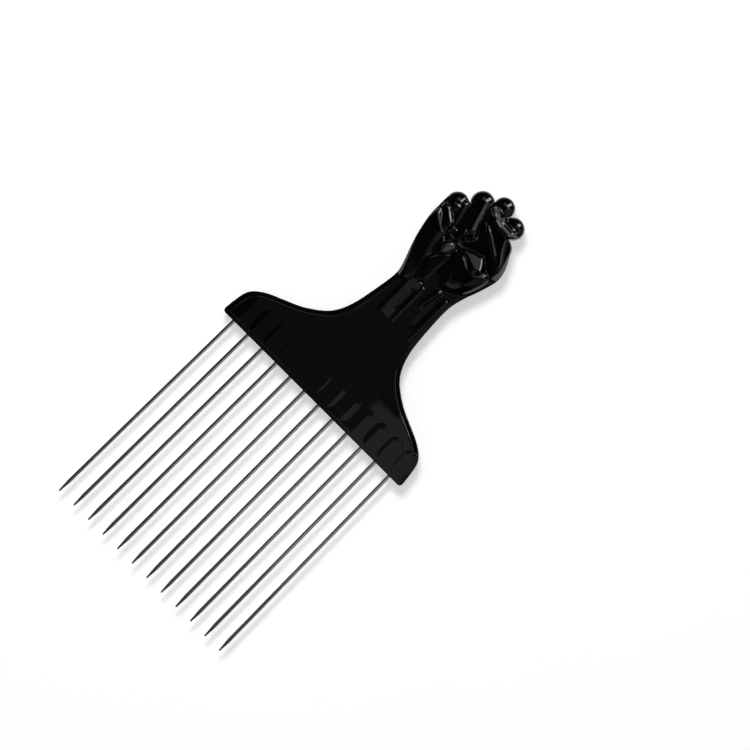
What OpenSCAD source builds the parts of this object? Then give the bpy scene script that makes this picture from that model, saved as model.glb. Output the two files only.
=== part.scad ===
/* [Head] */
// Width of the head across the row of pins
head_w = 84; // [78:1:92]
// Thickness of the flat head plate
head_t = 5.2; // [4.6:0.1:6]
// Radius of the two lower corners of the head
corner_r = 1.3; // [0.8:0.1:2]
// Rounding of the edge all round the head
head_round = 1.1; // [0.7:0.1:1.6]
// Height from the pin edge of the head to the waist of the handle
neck_h = 49.7; // [46:0.5:54]

/* [Hand] */
// Width of the waist, the narrowest place of the handle
waist_w = 21; // [19:0.5:23]
// How far the waist stands to the right of the middle
waist_shift = 0.8; // [0:0.1:1.2]
// Width of the fist across the thumb
fist_w = 31.9; // [30:0.5:34]
// Height from the waist to the top of the middle knuckle
hand_h = 45; // [43:0.5:47]
// Thickness of a finger
finger_d = 8; // [7.6:0.1:8.6]
// Height of the palm's hollow in front of the parting plane
palm_t = 4.3; // [3.8:0.1:4.8]
// Height of the back of the hand behind the parting plane
back_t = 6.5; // [6:0.1:7.2]
// Rounding of the edge all round the fist
hand_round = 3.2; // [2.6:0.1:3.6]

/* [Pins] */
// Number of pins
pin_count = 12; // [8:1:12]
// Diameter of the pin wire
pin_d = 1.6; // [1.4:0.1:1.8]
// Length of a pin outside the head
pin_free = 81.8; // [60:1:90]
// Length of a pin moulded into the head
pin_root = 10.5; // [9:0.5:12]
// Distance between neighbouring pins at the head
pin_pitch = 6.7; // [6.4:0.1:6.9]
// Angle in degrees between neighbouring pins
pin_fan = 0.14; // [0:0.02:0.2]
// Length of the taper at the tip
tip_len = 5; // [3:0.5:8]
// Diameter of the blunt end
tip_d = 0.8; // [0.6:0.1:1]
// Depth of the two holding grooves in the root
groove_depth = 0.15; // [0.1:0.01:0.2]
// Length of one holding groove
groove_len = 1.4; // [1:0.1:1.8]

/* [Bosses] */
// Length of the oval boss over each pin, as it shows on the face
boss_len = 10.3; // [9:0.1:11]
// Width of the oval boss, as it shows on the face
boss_w = 6.1; // [5.4:0.1:6.3]
// Distance from the pin edge to the start of a boss
boss_start = 1.4; // [1:0.1:2]

/* [Hidden] */

// Gap left all round a pin in its socket
pin_gap = 0.02;
// Overrun of every cut past the surface that it opens
over = 0.5;
// Facets of round parts
$fn = 48;

handle_h = neck_h + hand_h;
// Places of the parting plane and the pin edge in the part's own frame
mid_z = back_t;
edge_y = pin_free - (handle_h + pin_free) / 2;

// One row per height of the neck, from the pin edge to the waist. Shares: height,
// half width between waist and head, shift to the right, front, back, roundness.
neck_shares = [
    [0.026, 1.000, 0.00, 0.00, 0.00, 0.00],
    [0.100, 0.987, 0.00, 0.00, 0.00, 0.00],
    [0.187, 0.960, 0.00, 0.00, 0.00, 0.00],
    [0.241, 0.905, 0.00, 0.00, 0.00, 0.00],
    [0.295, 0.786, 0.00, 0.00, 0.00, 0.00],
    [0.348, 0.601, 0.20, 0.00, 0.00, 0.00],
    [0.402, 0.417, 0.20, 0.00, 0.00, 0.00],
    [0.485, 0.233, 0.20, 0.00, 0.00, 0.00],
    [0.565, 0.134, 0.20, 0.00, 0.00, 0.00],
    [0.674, 0.069, 0.25, 0.00, 0.00, 0.00],
    [0.805, 0.032, 0.50, 0.30, 0.15, 0.35],
];
// The same from the waist to the height where the knuckles begin
hand_shares = [
    [0.000, 0.000, 1.00, 0.75, 0.30, 0.60],
    [0.120, 0.125, 0.40, 0.90, 0.40, 0.85],
    [0.239, 0.428, 0.00, 1.00, 0.57, 0.95],
    [0.360, 0.751, 0.25, 1.00, 0.78, 1.00],
    [0.498, 1.000, 0.50, 1.00, 0.94, 1.00],
    [0.600, 0.935, -0.10, 1.00, 1.00, 1.00],
    [0.703, 0.695, -1.40, 0.95, 0.96, 1.00],
];
// Row of the neck up to which the face is flat, and the steps between rows
flat_row = 9;
neck_steps = 2;
hand_steps = 5;
// Steps round the edge, from the edge to the spine, and over the knuckles
edge_steps = 4;
deep_steps = 12;
top_steps = 36;

// Knuckles that make the top outline: place in half fist widths and hand heights,
// radius in finger thicknesses
knuckle_shares = [
    [-0.727, 0.697, 0.500],
    [-0.357, 0.831, 0.510],
    [0.038, 0.917, 0.463],
    [0.477, 0.853, 0.494],
    [0.555, 0.675, 0.560],
];

// Forms on the palm side. Each row has two ends, and each end its place in half
// fist widths and hand heights, then height and radius in finger thicknesses.
palm_shares = [
    // little finger and its tip
    [-0.715, 0.690, 0.20, 0.48, -0.640, 0.620, 0.40, 0.42],
    [-0.730, 0.590, 0.34, 0.32, -0.540, 0.560, 0.36, 0.28],
    // ring finger and its tip
    [-0.357, 0.831, 0.25, 0.50, -0.245, 0.645, 0.50, 0.43],
    [-0.265, 0.600, 0.44, 0.34, -0.190, 0.590, 0.42, 0.32],
    // middle finger
    [0.038, 0.917, 0.18, 0.46, 0.060, 0.780, 0.36, 0.44],
    // forefinger
    [0.477, 0.853, 0.22, 0.49, 0.420, 0.720, 0.36, 0.42],
    // thumb, from its tip to the ball of the hand
    [0.060, 0.775, 0.50, 0.36, 0.500, 0.715, 0.46, 0.44],
    [0.090, 0.690, 0.62, 0.32, 0.520, 0.580, 0.56, 0.36],
    [0.480, 0.680, 0.44, 0.42, 0.720, 0.530, 0.36, 0.42],
    // ball of the thumb
    [0.440, 0.410, 0.30, 0.68, 0.400, 0.235, 0.20, 0.56],
    [0.760, 0.480, 0.20, 0.44, 0.620, 0.260, 0.10, 0.44],
    // heel of the hand
    [-0.700, 0.430, 0.22, 0.56, -0.560, 0.200, 0.16, 0.44],
    // fold in the middle of the palm
    [-0.230, 0.500, 0.34, 0.26, -0.060, 0.525, 0.36, 0.26],
    // cord of the wrist
    [-0.090, 0.380, 0.30, 0.28, -0.190, 0.130, 0.24, 0.28],
];
// Forms on the back of the hand, written alike
back_shares = [
    [-0.727, 0.697, 0.22, 0.48, -0.420, 0.300, 0.18, 0.42],
    [-0.357, 0.831, 0.26, 0.50, -0.210, 0.330, 0.24, 0.46],
    [0.038, 0.917, 0.26, 0.46, 0.040, 0.340, 0.26, 0.48],
    [0.477, 0.853, 0.26, 0.49, 0.300, 0.320, 0.24, 0.46],
    [0.620, 0.640, 0.12, 0.50, 0.560, 0.330, 0.10, 0.44],
];
// Ridges of the wrist: two ends, half width in finger thicknesses, height in palm heights
ridge_shares = [
    [-0.265, -0.215, -0.265, 0.080, 0.26, 0.16],
    [0.040, -0.190, 0.050, 0.120, 0.14, 0.14],
    [0.295, -0.060, 0.290, 0.130, 0.20, 0.16],
    [0.570, -0.210, 0.570, 0.110, 0.17, 0.14],
];
// Softness of the creases between forms, in finger thicknesses
crease_share = 0.05;
// Steepness of a form's wall below its widest place
wall_slope = 2.5;

function lerp(a, b, t) = a + (b - a) * t;
function unit(v) = v / norm(v);
function turn_left(v) = [-v[1], v[0]];
function to_hand(x, y) = [x * fist_w / 2, neck_h + y * hand_h];

// Rows of the sides in real sizes: height, half width, shift, front, back, edge, crown
side_rows = concat(
    [for (r = neck_shares) side_row(r, 0, neck_h, head_w)],
    [for (r = hand_shares) side_row(r, neck_h, hand_h, fist_w)]
);
function side_row(r, start, rise, wide) = [
    start + r[0] * rise,
    lerp(waist_w, wide, r[1]) / 2,
    r[2] * waist_shift,
    lerp(head_t / 2, palm_t, r[3]),
    lerp(head_t / 2, back_t, r[4]),
    lerp(head_round, hand_round, r[5]),
    r[5],
];

// A smooth curve through the rows
function row_between(a, b, c, d, t) =
    (2 * b + (c - a) * t + (2 * a - 5 * b + 4 * c - d) * t * t
    + (3 * b - a - 3 * c + d) * t * t * t) / 2;
function rows_from(first, last, steps) = [
    for (i = [first : last - 1], k = [0 : steps - 1])
        row_between(side_rows[max(i - 1, 0)], side_rows[i], side_rows[i + 1],
            side_rows[min(i + 2, len(side_rows) - 1)], k / steps)
];
waist_row = len(neck_shares);
head_rows = rows_from(0, flat_row, neck_steps);
hand_rows = concat(
    rows_from(flat_row, waist_row, neck_steps),
    rows_from(waist_row, len(side_rows) - 1, hand_steps),
    [side_rows[len(side_rows) - 1]]
);
all_rows = concat(head_rows, hand_rows);
pole_row = hand_rows[len(hand_rows) - 1];
pole = [pole_row[2], pole_row[0]];

// The knuckles' outline, as far as a ray from the pole reaches
knuckles = [for (k = knuckle_shares) concat(to_hand(k[0], k[1]), k[2] * finger_d)];
function reach(ray, k) =
    let (m = [k[0], k[1]] - pole, along = m * ray, rest = k[2] * k[2] - m * m + along * along)
    rest > 0 ? along + sqrt(rest) : 0;
function top_point(angle) =
    let (ray = [cos(angle), sin(angle)])
    pole + ray * max([for (k = knuckles) reach(ray, k)]);

// The closed outline, counter-clockwise from the right end of the pin edge. Each
// station has its place, its row in the hand or -1, and its edge and crown.
function corner(side) = [
    for (a = [0 : 30 : 60])
        [side * (head_w / 2 - corner_r + corner_r * sin(a)), corner_r - corner_r * cos(a)]
];
function side_point(row, side) = [row[2] + side * row[1], row[0]];
right_head = concat(corner(1), [for (r = head_rows) side_point(r, 1)]);
left_head = concat(corner(-1), [for (r = head_rows) side_point(r, -1)]);
right_hand = [for (r = hand_rows) side_point(r, 1)];
left_hand = [for (r = hand_rows) side_point(r, -1)];
top_hand = [for (k = [1 : top_steps - 1]) top_point(180 * k / top_steps)];
function backwards(list) = [for (i = [len(list) - 1 : -1 : 0]) list[i]];
outline = concat(right_head, right_hand, top_hand, backwards(left_hand), backwards(left_head));

stations = len(outline);
head_count = len(right_head);
hand_count = len(right_hand);
top_count = len(top_hand);
first_hand = head_count;
last_hand = head_count + 2 * hand_count + top_count - 1;
// Spine row that station i runs to: the pole is the last
function spine_of(i) =
    let (k = i - first_hand, back = last_hand - i)
    min(k, back, hand_count - 1);
function in_hand(i) = i >= first_hand && i <= last_hand;

function inward(i) =
    let (here = outline[i],
        ahead = unit(outline[(i + 1) % stations] - here),
        behind = unit(here - outline[(i + stations - 1) % stations]))
    turn_left(unit(ahead + behind));
function edge_at(i) = in_hand(i) ? hand_rows[spine_of(i)][5] : head_round;

// Depth of edge step j and the share of the full height there
function edge_depth(i, j) = edge_at(i) * (1 - cos(90 * j / edge_steps));
function edge_rise(j) = j < edge_steps ? sin(90 * j / edge_steps) : 1;
function place(i, j) =
    j <= edge_steps
        ? outline[i] + inward(i) * edge_depth(i, j)
        : lerp(place(i, edge_steps), spine_place(spine_of(i)), (j - edge_steps) / deep_steps);
function spine_place(k) = [hand_rows[k][2], hand_rows[k][0]];

// Heights over the parting plane
function row_at(y, k) =
    k == len(all_rows) - 1 || all_rows[k + 1][0] > y ? k : row_at(y, k + 1);
function side_at(y) =
    let (k = row_at(y, 0), low = all_rows[k], high = all_rows[min(k + 1, len(all_rows) - 1)],
        t = high[0] > low[0] ? (y - low[0]) / (high[0] - low[0]) : 0)
    lerp(low, high, max(min(t, 1), 0));
function body_top(p, part) =
    let (s = side_at(p[1]), across = min(abs(p[0] - s[2]) / s[1], 1) * s[6] * 0.75)
    s[part] * sqrt(1 - across * across);
function soft_max(a, b, k) =
    let (near = max(k - abs(a - b), 0))
    max(a, b) + near * near / (4 * k);
function along_share(p, a, b) = max(0, min(1, (p - a) * (b - a) / ((b - a) * (b - a))));
function form_top(p, f) =
    let (t = along_share(p, f[0], f[1]), d = norm(p - lerp(f[0], f[1], t)),
        z = lerp(f[2], f[4], t), r = lerp(f[3], f[5], t))
    d < r ? z + sqrt(r * r - d * d) : z - wall_slope * (d - r);
function real_forms(shares) = [
    for (s = shares) [
        to_hand(s[0], s[1]), to_hand(s[4], s[5]),
        s[2] * finger_d, s[3] * finger_d, s[6] * finger_d, s[7] * finger_d,
    ]
];
palm_forms = real_forms(palm_shares);
back_forms = real_forms(back_shares);
function pile(z, p, forms, i = 0) =
    i == len(forms)
        ? z
        : pile(soft_max(z, form_top(p, forms[i]), crease_share * finger_d), p, forms, i + 1);
function ridge_rise(p) = max([
    for (s = ridge_shares)
        let (a = to_hand(s[0], s[1]), b = to_hand(s[2], s[3]),
            d = norm(p - lerp(a, b, along_share(p, a, b))) / (s[4] * finger_d))
        d < 1 ? s[5] * palm_t * (1 - d * d) * (1 - d * d) : 0
]);
function front_top(p) = pile(body_top(p, 3) + ridge_rise(p), p, palm_forms);
function back_top(p) = pile(body_top(p, 4), p, back_forms);
function height(side, p) = side > 0 ? front_top(p) : back_top(p);

// Corners of the skin: the rim, then for each side its inner corners, its spine
// and the centre of its flat face
all_steps = edge_steps + deep_steps;
rim = [for (p = outline) [p[0], p[1], 0]];
function inner_corners(side) = [
    for (i = [0 : stations - 1], j = [1 : all_steps - 1])
        let (p = in_hand(i) || j <= edge_steps ? place(i, j) : outline[i],
            z = in_hand(i) ? height(side, p) : head_t / 2)
        [p[0], p[1], side * z * edge_rise(j)]
];
function spine_corners(side) = [
    for (k = [0 : hand_count - 1])
        let (p = spine_place(k)) [p[0], p[1], side * height(side, p)]
];
flat_centre = [0, neck_h * neck_shares[3][0]];
function side_corners(side) = concat(
    inner_corners(side),
    spine_corners(side),
    [[flat_centre[0], flat_centre[1], side * head_t / 2]]
);
side_size = stations * (all_steps - 1) + hand_count + 1;
function corner_at(side, i, j) =
    let (start = stations + (side > 0 ? 0 : side_size))
    j == 0 ? i
        : j < all_steps ? start + i * (all_steps - 1) + j - 1
        : start + stations * (all_steps - 1) + spine_of(i);
function centre_at(side) = stations + (side > 0 ? 1 : 2) * side_size - 1;
function facing(side, list) = side > 0 ? backwards(list) : list;
function patch(side, i, n, j) =
    let (a = corner_at(side, i, j), b = corner_at(side, n, j),
        c = corner_at(side, n, j + 1), d = corner_at(side, i, j + 1))
    c == d ? [facing(side, [a, b, c])] : [facing(side, [a, b, c]), facing(side, [a, c, d])];
function skin(side) = [
    for (i = [0 : stations - 1])
        let (n = (i + 1) % stations, deep = in_hand(i) && in_hand(n) ? all_steps : edge_steps)
        each concat(
            [for (j = [0 : deep - 1]) each patch(side, i, n, j)],
            deep == edge_steps
                ? [facing(side, [corner_at(side, i, edge_steps), corner_at(side, n, edge_steps), centre_at(side)])]
                : []
        ),
    for (j = [edge_steps : all_steps - 1]) each [
        facing(side, [corner_at(side, first_hand, j), corner_at(side, first_hand, j + 1), centre_at(side)]),
        facing(side, [corner_at(side, last_hand, j + 1), corner_at(side, last_hand, j), centre_at(side)]),
    ]
];

module handle_skin() {
    polyhedron(
        points = concat(rim, side_corners(1), side_corners(-1)),
        faces = concat(skin(1), skin(-1)),
        convexity = 6
    );
}

// A pin from its root to its tip, along -Y from the pin edge, grown all round by gap
module pin_shape(gap, length) {
    r = pin_d / 2 + gap;
    groove_r = r - groove_depth;
    first = pin_root - pin_d;
    second = first - groove_len * 2;
    slope = groove_depth;
    rotate([90, 0, 0])
        rotate_extrude()
            polygon([
                [0, -pin_root - gap],
                [r, -pin_root - gap],
                [r, -first],
                [groove_r, slope - first],
                [groove_r, groove_len - slope - first],
                [r, groove_len - first],
                [r, -second],
                [groove_r, slope - second],
                [groove_r, groove_len - slope - second],
                [r, groove_len - second],
                [r, length - tip_len],
                [tip_d / 2 + gap, length],
                [0, length],
            ]);
}

module at_pin(i) {
    place_x = (i - (pin_count - 1) / 2);
    translate([place_x * pin_pitch, 0, 0])
        rotate([0, 0, place_x * pin_fan])
            children();
}

// Oval boss over a pin: a spindle with the pin's own axis
module boss() {
    face = head_t / 2;
    top = sqrt(face * face + boss_w * boss_w / 4);
    bow = top - face;
    arc_r = (boss_len * boss_len / 4 + bow * bow) / (2 * bow);
    translate([0, boss_start + boss_len / 2, 0])
        rotate([90, 0, 0])
            rotate_extrude()
                intersection() {
                    translate([top - arc_r, 0]) circle(r = arc_r, $fn = 96);
                    translate([0, -boss_len / 2]) square([top, boss_len]);
                }
}

module in_frame() {
    translate([0, edge_y, mid_z]) children();
}

module handle() {
    color("#101114")
        in_frame()
            difference() {
                union() {
                    handle_skin();
                    for (i = [0 : pin_count - 1]) at_pin(i) boss();
                }
                for (i = [0 : pin_count - 1]) at_pin(i) pin_shape(pin_gap, pin_free);
            }
}

module pin(i) {
    color("#9a9ca0")
        if (i < pin_count)
            in_frame() at_pin(i) pin_shape(0, pin_free);
}

module pin_01() { pin(0); }
module pin_02() { pin(1); }
module pin_03() { pin(2); }
module pin_04() { pin(3); }
module pin_05() { pin(4); }
module pin_06() { pin(5); }
module pin_07() { pin(6); }
module pin_08() { pin(7); }
module pin_09() { pin(8); }
module pin_10() { pin(9); }
module pin_11() { pin(10); }
module pin_12() { pin(11); }

handle();
pin_01();
pin_02();
pin_03();
pin_04();
pin_05();
pin_06();
pin_07();
pin_08();
pin_09();
pin_10();
pin_11();
pin_12();
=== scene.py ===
"""Hair pick with a raised-fist handle: glossy black moulding and drawn steel pins.

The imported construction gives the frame, the outer sizes and the wire. This script
dresses it: a finely sculpted moulding with an oval boss over each pin stands for the
construction's handle, and a row of drawn wire pins stands for its pins.
"""

import logging
import math
from dataclasses import dataclass, field
from enum import Enum, IntEnum

import bmesh
import bpy
import numpy as np
from mathutils import Matrix, Vector


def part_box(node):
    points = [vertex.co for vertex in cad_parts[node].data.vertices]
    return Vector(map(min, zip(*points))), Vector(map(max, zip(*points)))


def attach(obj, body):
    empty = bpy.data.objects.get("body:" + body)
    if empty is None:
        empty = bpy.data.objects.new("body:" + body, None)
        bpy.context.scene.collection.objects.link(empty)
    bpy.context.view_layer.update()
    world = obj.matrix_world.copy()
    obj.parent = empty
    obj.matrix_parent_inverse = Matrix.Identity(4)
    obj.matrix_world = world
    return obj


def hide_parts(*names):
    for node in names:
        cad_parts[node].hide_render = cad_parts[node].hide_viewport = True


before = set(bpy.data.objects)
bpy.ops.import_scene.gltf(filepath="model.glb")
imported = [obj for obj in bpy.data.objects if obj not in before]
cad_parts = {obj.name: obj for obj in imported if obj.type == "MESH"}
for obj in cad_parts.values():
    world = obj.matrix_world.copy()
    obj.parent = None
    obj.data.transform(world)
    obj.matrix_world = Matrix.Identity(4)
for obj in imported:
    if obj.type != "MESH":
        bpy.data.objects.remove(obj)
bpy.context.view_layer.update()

MM = 0.001
PIN_NODES = sorted(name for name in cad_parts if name.startswith("pin_"))
log = logging.getLogger("hair_pick")

# Distance under which points of the skin are joined, in millimetres, and lengths under
# which points and edges of a turned shape are, in metres
SKIN_WELD = 1e-5
TURNED_WELD = 1e-7
TURNED_EDGE = 1e-8

# A plain number, or an array of them
Value = float | np.ndarray


class Side(Enum):
    """The two sides of the moulding, on either side of its parting plane."""

    PALM = 1
    BACK = -1


class Half(Enum):
    """The two halves of the outline, to the right and the left of its middle."""

    RIGHT = 1
    LEFT = -1


class Column(IntEnum):
    """Columns of the rows that the sides of the neck and the hand run through."""

    HEIGHT = 0
    HALF_WIDTH = 1
    SHIFT = 2
    PALM = 3
    BACK = 4
    EDGE = 5
    CROWN = 6


class Slot(Enum):
    """Material slots of the record."""

    HANDLE = "handle_plastic"
    PINS = "pin_steel"


def box_mm(node: str) -> np.ndarray:
    """Lowest and highest corners of a node of the frame, in millimetres."""
    return np.array([list(corner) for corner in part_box(node)]) / MM


HANDLE_BOX = box_mm("handle")
PIN_BOXES = np.array([box_mm(name) for name in PIN_NODES])
# Height of the parting plane, where all pins have their axes, and place of the pin edge
MID_Z = float(PIN_BOXES[:, :, 2].mean())
EDGE_Y = float(HANDLE_BOX[0, 1])


@dataclass(frozen=True)
class Form:
    """A rounded form of the hand, such as a finger, between two ends.

    Places are shares of half the fist's width and of the hand's height. Feet, rises
    and radii are shares of a finger's thickness.
    """

    name: str
    start: tuple[float, float]
    end: tuple[float, float]
    foot: tuple[float, float]
    rise: tuple[float, float]
    radius: tuple[float, float]


@dataclass(frozen=True)
class Slab:
    """A flat-topped form inside a smooth closed curve, such as the heel of the hand.

    The curve runs through the corners, in the shares of Form. The top, and the depth
    and the drop of the rounded rim, are shares of a finger's thickness, and the tilt is
    the slope of the top to the right and upwards.
    """

    name: str
    corners: tuple[tuple[float, float], ...]
    top: float
    rim: float
    drop: float
    tilt: tuple[float, float] = (0.0, 0.0)


@dataclass(frozen=True)
class Line:
    """A raised ridge, or a sunk crease where the rise is below zero, along its points.

    Points are in the shares of Form, the half width is a share of a finger's
    thickness and the rise a share of the palm's height.
    """

    name: str
    points: tuple[tuple[float, float], ...]
    half_width: float
    rise: float


@dataclass(frozen=True)
class Knuckle:
    """A knuckle of the top outline: its place and radius in the shares of Form."""

    place: tuple[float, float]
    radius: float


@dataclass
class HandSizes:
    """Sizes of the moulding, in millimetres.

    The head's width and the handle's height come from the frame, and the others repeat
    the construction's. Only the rim, the bevel and the round of the hand's edge are
    finer here.
    """

    head_w: float = float(HANDLE_BOX[1, 0] - HANDLE_BOX[0, 0])
    handle_h: float = float(HANDLE_BOX[1, 1] - HANDLE_BOX[0, 1])
    hand_h: float = 45.0
    head_t: float = 5.2
    corner_r: float = 1.3
    rim_round: float = 0.4
    bevel_w: float = 1.0
    bevel_h: float = 0.2
    waist_w: float = 21.0
    waist_shift: float = 0.8
    fist_w: float = 31.9
    finger_d: float = 8.0
    palm_t: float = 4.3
    back_t: float = 6.5
    hand_round: float = 2.2

    @property
    def neck_h(self) -> float:
        """Height from the pin edge to the waist."""
        return self.handle_h - self.hand_h

    def to_hand(self, place: tuple[float, float]) -> np.ndarray:
        """Real place of a point given in shares of the hand."""
        return np.array([place[0] * self.fist_w / 2, self.neck_h + place[1] * self.hand_h])


# Rows of the neck's and the hand's sides, lowest first, as shares in the order of Column
NECK_SHARES = np.array([
    [0.026, 1.000, 0.00, 0.00, 0.00, 0.00, 0.00],
    [0.100, 0.987, 0.00, 0.00, 0.00, 0.00, 0.00],
    [0.187, 0.960, 0.00, 0.00, 0.00, 0.00, 0.00],
    [0.241, 0.905, 0.00, 0.00, 0.00, 0.00, 0.00],
    [0.295, 0.786, 0.00, 0.00, 0.00, 0.00, 0.00],
    [0.348, 0.601, 0.20, 0.00, 0.00, 0.00, 0.00],
    [0.402, 0.417, 0.20, 0.00, 0.00, 0.00, 0.00],
    [0.485, 0.233, 0.20, 0.00, 0.00, 0.00, 0.00],
    [0.565, 0.134, 0.20, 0.00, 0.00, 0.00, 0.00],
    [0.674, 0.069, 0.25, 0.00, 0.00, 0.00, 0.00],
    [0.805, 0.032, 0.50, 0.30, 0.15, 0.50, 0.25],
])
HAND_SHARES = np.array([
    [0.000, 0.000, 1.00, 0.75, 0.30, 0.60, 0.45],
    [0.120, 0.125, 0.40, 0.90, 0.40, 0.70, 0.60],
    [0.239, 0.428, 0.00, 1.00, 0.57, 0.85, 0.70],
    [0.360, 0.751, 0.25, 1.00, 0.78, 1.00, 0.75],
    [0.498, 1.000, 0.50, 1.00, 0.94, 1.00, 0.80],
    [0.600, 0.935, -0.10, 0.92, 1.00, 0.65, 0.85],
    [0.703, 0.700, -1.50, 0.15, 0.94, 0.20, 0.90],
])
# Row of the neck up to which the faces are flat, and the row at whose height the point
# lies where the flat faces meet
FLAT_ROW = 9
MIDDLE_ROW = 3
# Upright part of a normal from which a face counts as flat
FLAT_NORMAL = 0.9999999

KNUCKLES = (
    Knuckle((-0.727, 0.697), 0.500),
    Knuckle((-0.357, 0.831), 0.510),
    Knuckle((0.038, 0.917), 0.463),
    Knuckle((0.477, 0.853), 0.494),
    Knuckle((0.555, 0.675), 0.560),
)

PALM_SLABS = (
    Slab("hand_heel", ((-0.980, 0.576), (-0.860, 0.570), (-0.650, 0.522), (-0.470, 0.478),
                       (-0.475, 0.425), (-0.390, 0.300), (-0.275, 0.153), (-0.310, 0.040),
                       (-0.530, 0.020), (-0.790, 0.184), (-0.990, 0.384)), 0.66, 0.30, 0.11),
    Slab("thenar", ((0.040, 0.462), (0.130, 0.480), (0.280, 0.472), (0.400, 0.450), (0.520, 0.440),
                    (0.640, 0.458), (0.760, 0.470), (0.850, 0.440), (0.820, 0.370), (0.710, 0.272),
                    (0.520, 0.203), (0.225, 0.176), (0.060, 0.262), (0.010, 0.362)), 0.78, 0.50, 0.17),
    Slab("thenar_facet", ((0.090, 0.474), (0.200, 0.506), (0.330, 0.526), (0.400, 0.528), (0.455, 0.546),
                          (0.520, 0.518), (0.600, 0.478), (0.625, 0.450), (0.500, 0.432), (0.380, 0.446),
                          (0.260, 0.462)), 0.73, 0.08, 0.02, (0.02, -0.40)),
    Slab("thumb", ((-0.050, 0.850), (0.050, 0.846), (0.150, 0.826), (0.270, 0.812), (0.560, 0.808),
                   (0.600, 0.770), (0.740, 0.678), (0.884, 0.611), (0.955, 0.540), (0.850, 0.508),
                   (0.725, 0.544), (0.550, 0.588), (0.275, 0.658), (0.050, 0.708), (-0.055, 0.780)),
         0.86, 0.25, 0.12),
    Slab("little_facet", ((-0.790, 0.626), (-0.730, 0.634), (-0.620, 0.600), (-0.520, 0.566),
                          (-0.530, 0.552), (-0.600, 0.562), (-0.720, 0.594)),
         0.63, 0.06, 0.02, (-0.14, -0.62)),
    Slab("ring_facet", ((-0.250, 0.602), (-0.190, 0.604), (-0.130, 0.578), (-0.150, 0.562), (-0.210, 0.572)),
         0.63, 0.06, 0.02, (-0.14, -0.62)),
    Slab("wrist_cord", ((-0.063, 0.389), (-0.020, 0.330), (-0.055, 0.230), (-0.060, 0.118), (-0.175, 0.080),
                        (-0.300, 0.096), (-0.355, 0.162), (-0.370, 0.262)), 0.62, 0.10, 0.05, (-0.20, 0.00)),
    Slab("tendon_right", ((0.000, 0.487), (0.000, 0.438), (-0.082, 0.420), (-0.138, 0.376),
                          (-0.250, 0.342), (-0.313, 0.356), (-0.295, 0.424), (-0.220, 0.464)),
         0.62, 0.12, 0.04, (-0.26, -0.20)),
    Slab("tendon_left", ((-0.450, 0.446), (-0.370, 0.436), (-0.325, 0.402), (-0.380, 0.350),
                         (-0.452, 0.358)), 0.58, 0.10, 0.03, (-0.14, -0.08)),
    Slab("wrist_panel", ((-0.332, 0.070), (-0.140, 0.086), (0.050, 0.070), (0.050, -0.120),
                         (0.045, -0.262), (-0.140, -0.275), (-0.330, -0.262), (-0.340, -0.120)),
         0.48, 0.08, 0.04, (-0.16, 0.08)),
)
PALM_FORMS = (
    Form("little_finger", (-0.727, 0.697), (-0.715, 0.680), (0.30, 0.34), (0.26, 0.26), (0.50, 0.48)),
    Form("little_side", (-0.600, 0.720), (-0.490, 0.585), (0.40, 0.42), (0.16, 0.16), (0.26, 0.24)),
    Form("little_fingertip", (-0.800, 0.608), (-0.580, 0.556), (0.44, 0.46), (0.16, 0.16), (0.32, 0.28)),
    Form("ring_finger", (-0.357, 0.831), (-0.190, 0.625), (0.32, 0.58), (0.28, 0.16), (0.51, 0.42)),
    Form("ring_fingertip", (-0.200, 0.588), (-0.168, 0.562), (0.56, 0.56), (0.20, 0.20), (0.17, 0.17)),
    Form("middle_finger", (0.038, 0.917), (0.040, 0.910), (0.30, 0.30), (0.25, 0.25), (0.463, 0.46)),
    Form("forefinger", (0.477, 0.853), (0.470, 0.820), (0.30, 0.34), (0.28, 0.26), (0.494, 0.47)),
    Form("palm_pad", (-0.230, 0.512), (-0.100, 0.514), (0.44, 0.44), (0.14, 0.14), (0.20, 0.18)),
    Form("wrist_top", (0.040, 0.225), (0.260, 0.180), (0.40, 0.40), (0.16, 0.14), (0.24, 0.22)),
    Form("palm_dot", (0.094, 0.396), (0.096, 0.396), (0.62, 0.62), (0.06, 0.06), (0.11, 0.11)),
)
PALM_LINES = (
    Line("little_crease", ((-0.880, 0.660), (-0.700, 0.630), (-0.580, 0.606)), 0.11, -0.07),
    Line("thumb_fold", ((-0.056, 0.858), (0.100, 0.814), (0.245, 0.796), (0.577, 0.790), (0.650, 0.806)),
         0.17, 0.17),
    Line("forefinger_fold", ((0.195, 0.838), (0.350, 0.832), (0.560, 0.826)), 0.12, 0.09),
    Line("forefinger_hollow", ((0.280, 0.868), (0.520, 0.862)), 0.18, -0.18),
    Line("thumb_ridge", ((0.050, 0.722), (0.270, 0.676), (0.570, 0.605)), 0.17, 0.13),
    Line("palm_arc_left", ((-0.555, 0.533), (-0.350, 0.542)), 0.10, 0.07),
    Line("palm_arc_right", ((-0.245, 0.535), (-0.090, 0.545), (0.000, 0.562), (0.055, 0.600)),
         0.11, 0.08),
    Line("palm_arc_low", ((-0.350, 0.487), (-0.180, 0.478), (0.000, 0.482)), 0.10, 0.07),
    Line("palm_seam", ((-0.045, 0.433), (0.020, 0.300)), 0.08, 0.06),
    Line("wrist_panel_hollow", ((-0.082, -0.150), (-0.082, 0.000)), 0.14, -0.10),
    Line("wrist_thin_line", ((0.028, -0.250), (0.028, 0.060)), 0.10, 0.08),
    Line("wrist_middle", ((0.250, -0.020), (0.320, 0.120)), 0.18, 0.16),
    Line("wrist_groove", ((0.440, -0.180), (0.440, 0.110)), 0.20, -0.08),
    Line("wrist_right_line", ((0.570, -0.260), (0.570, 0.110)), 0.10, 0.08),
)
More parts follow.
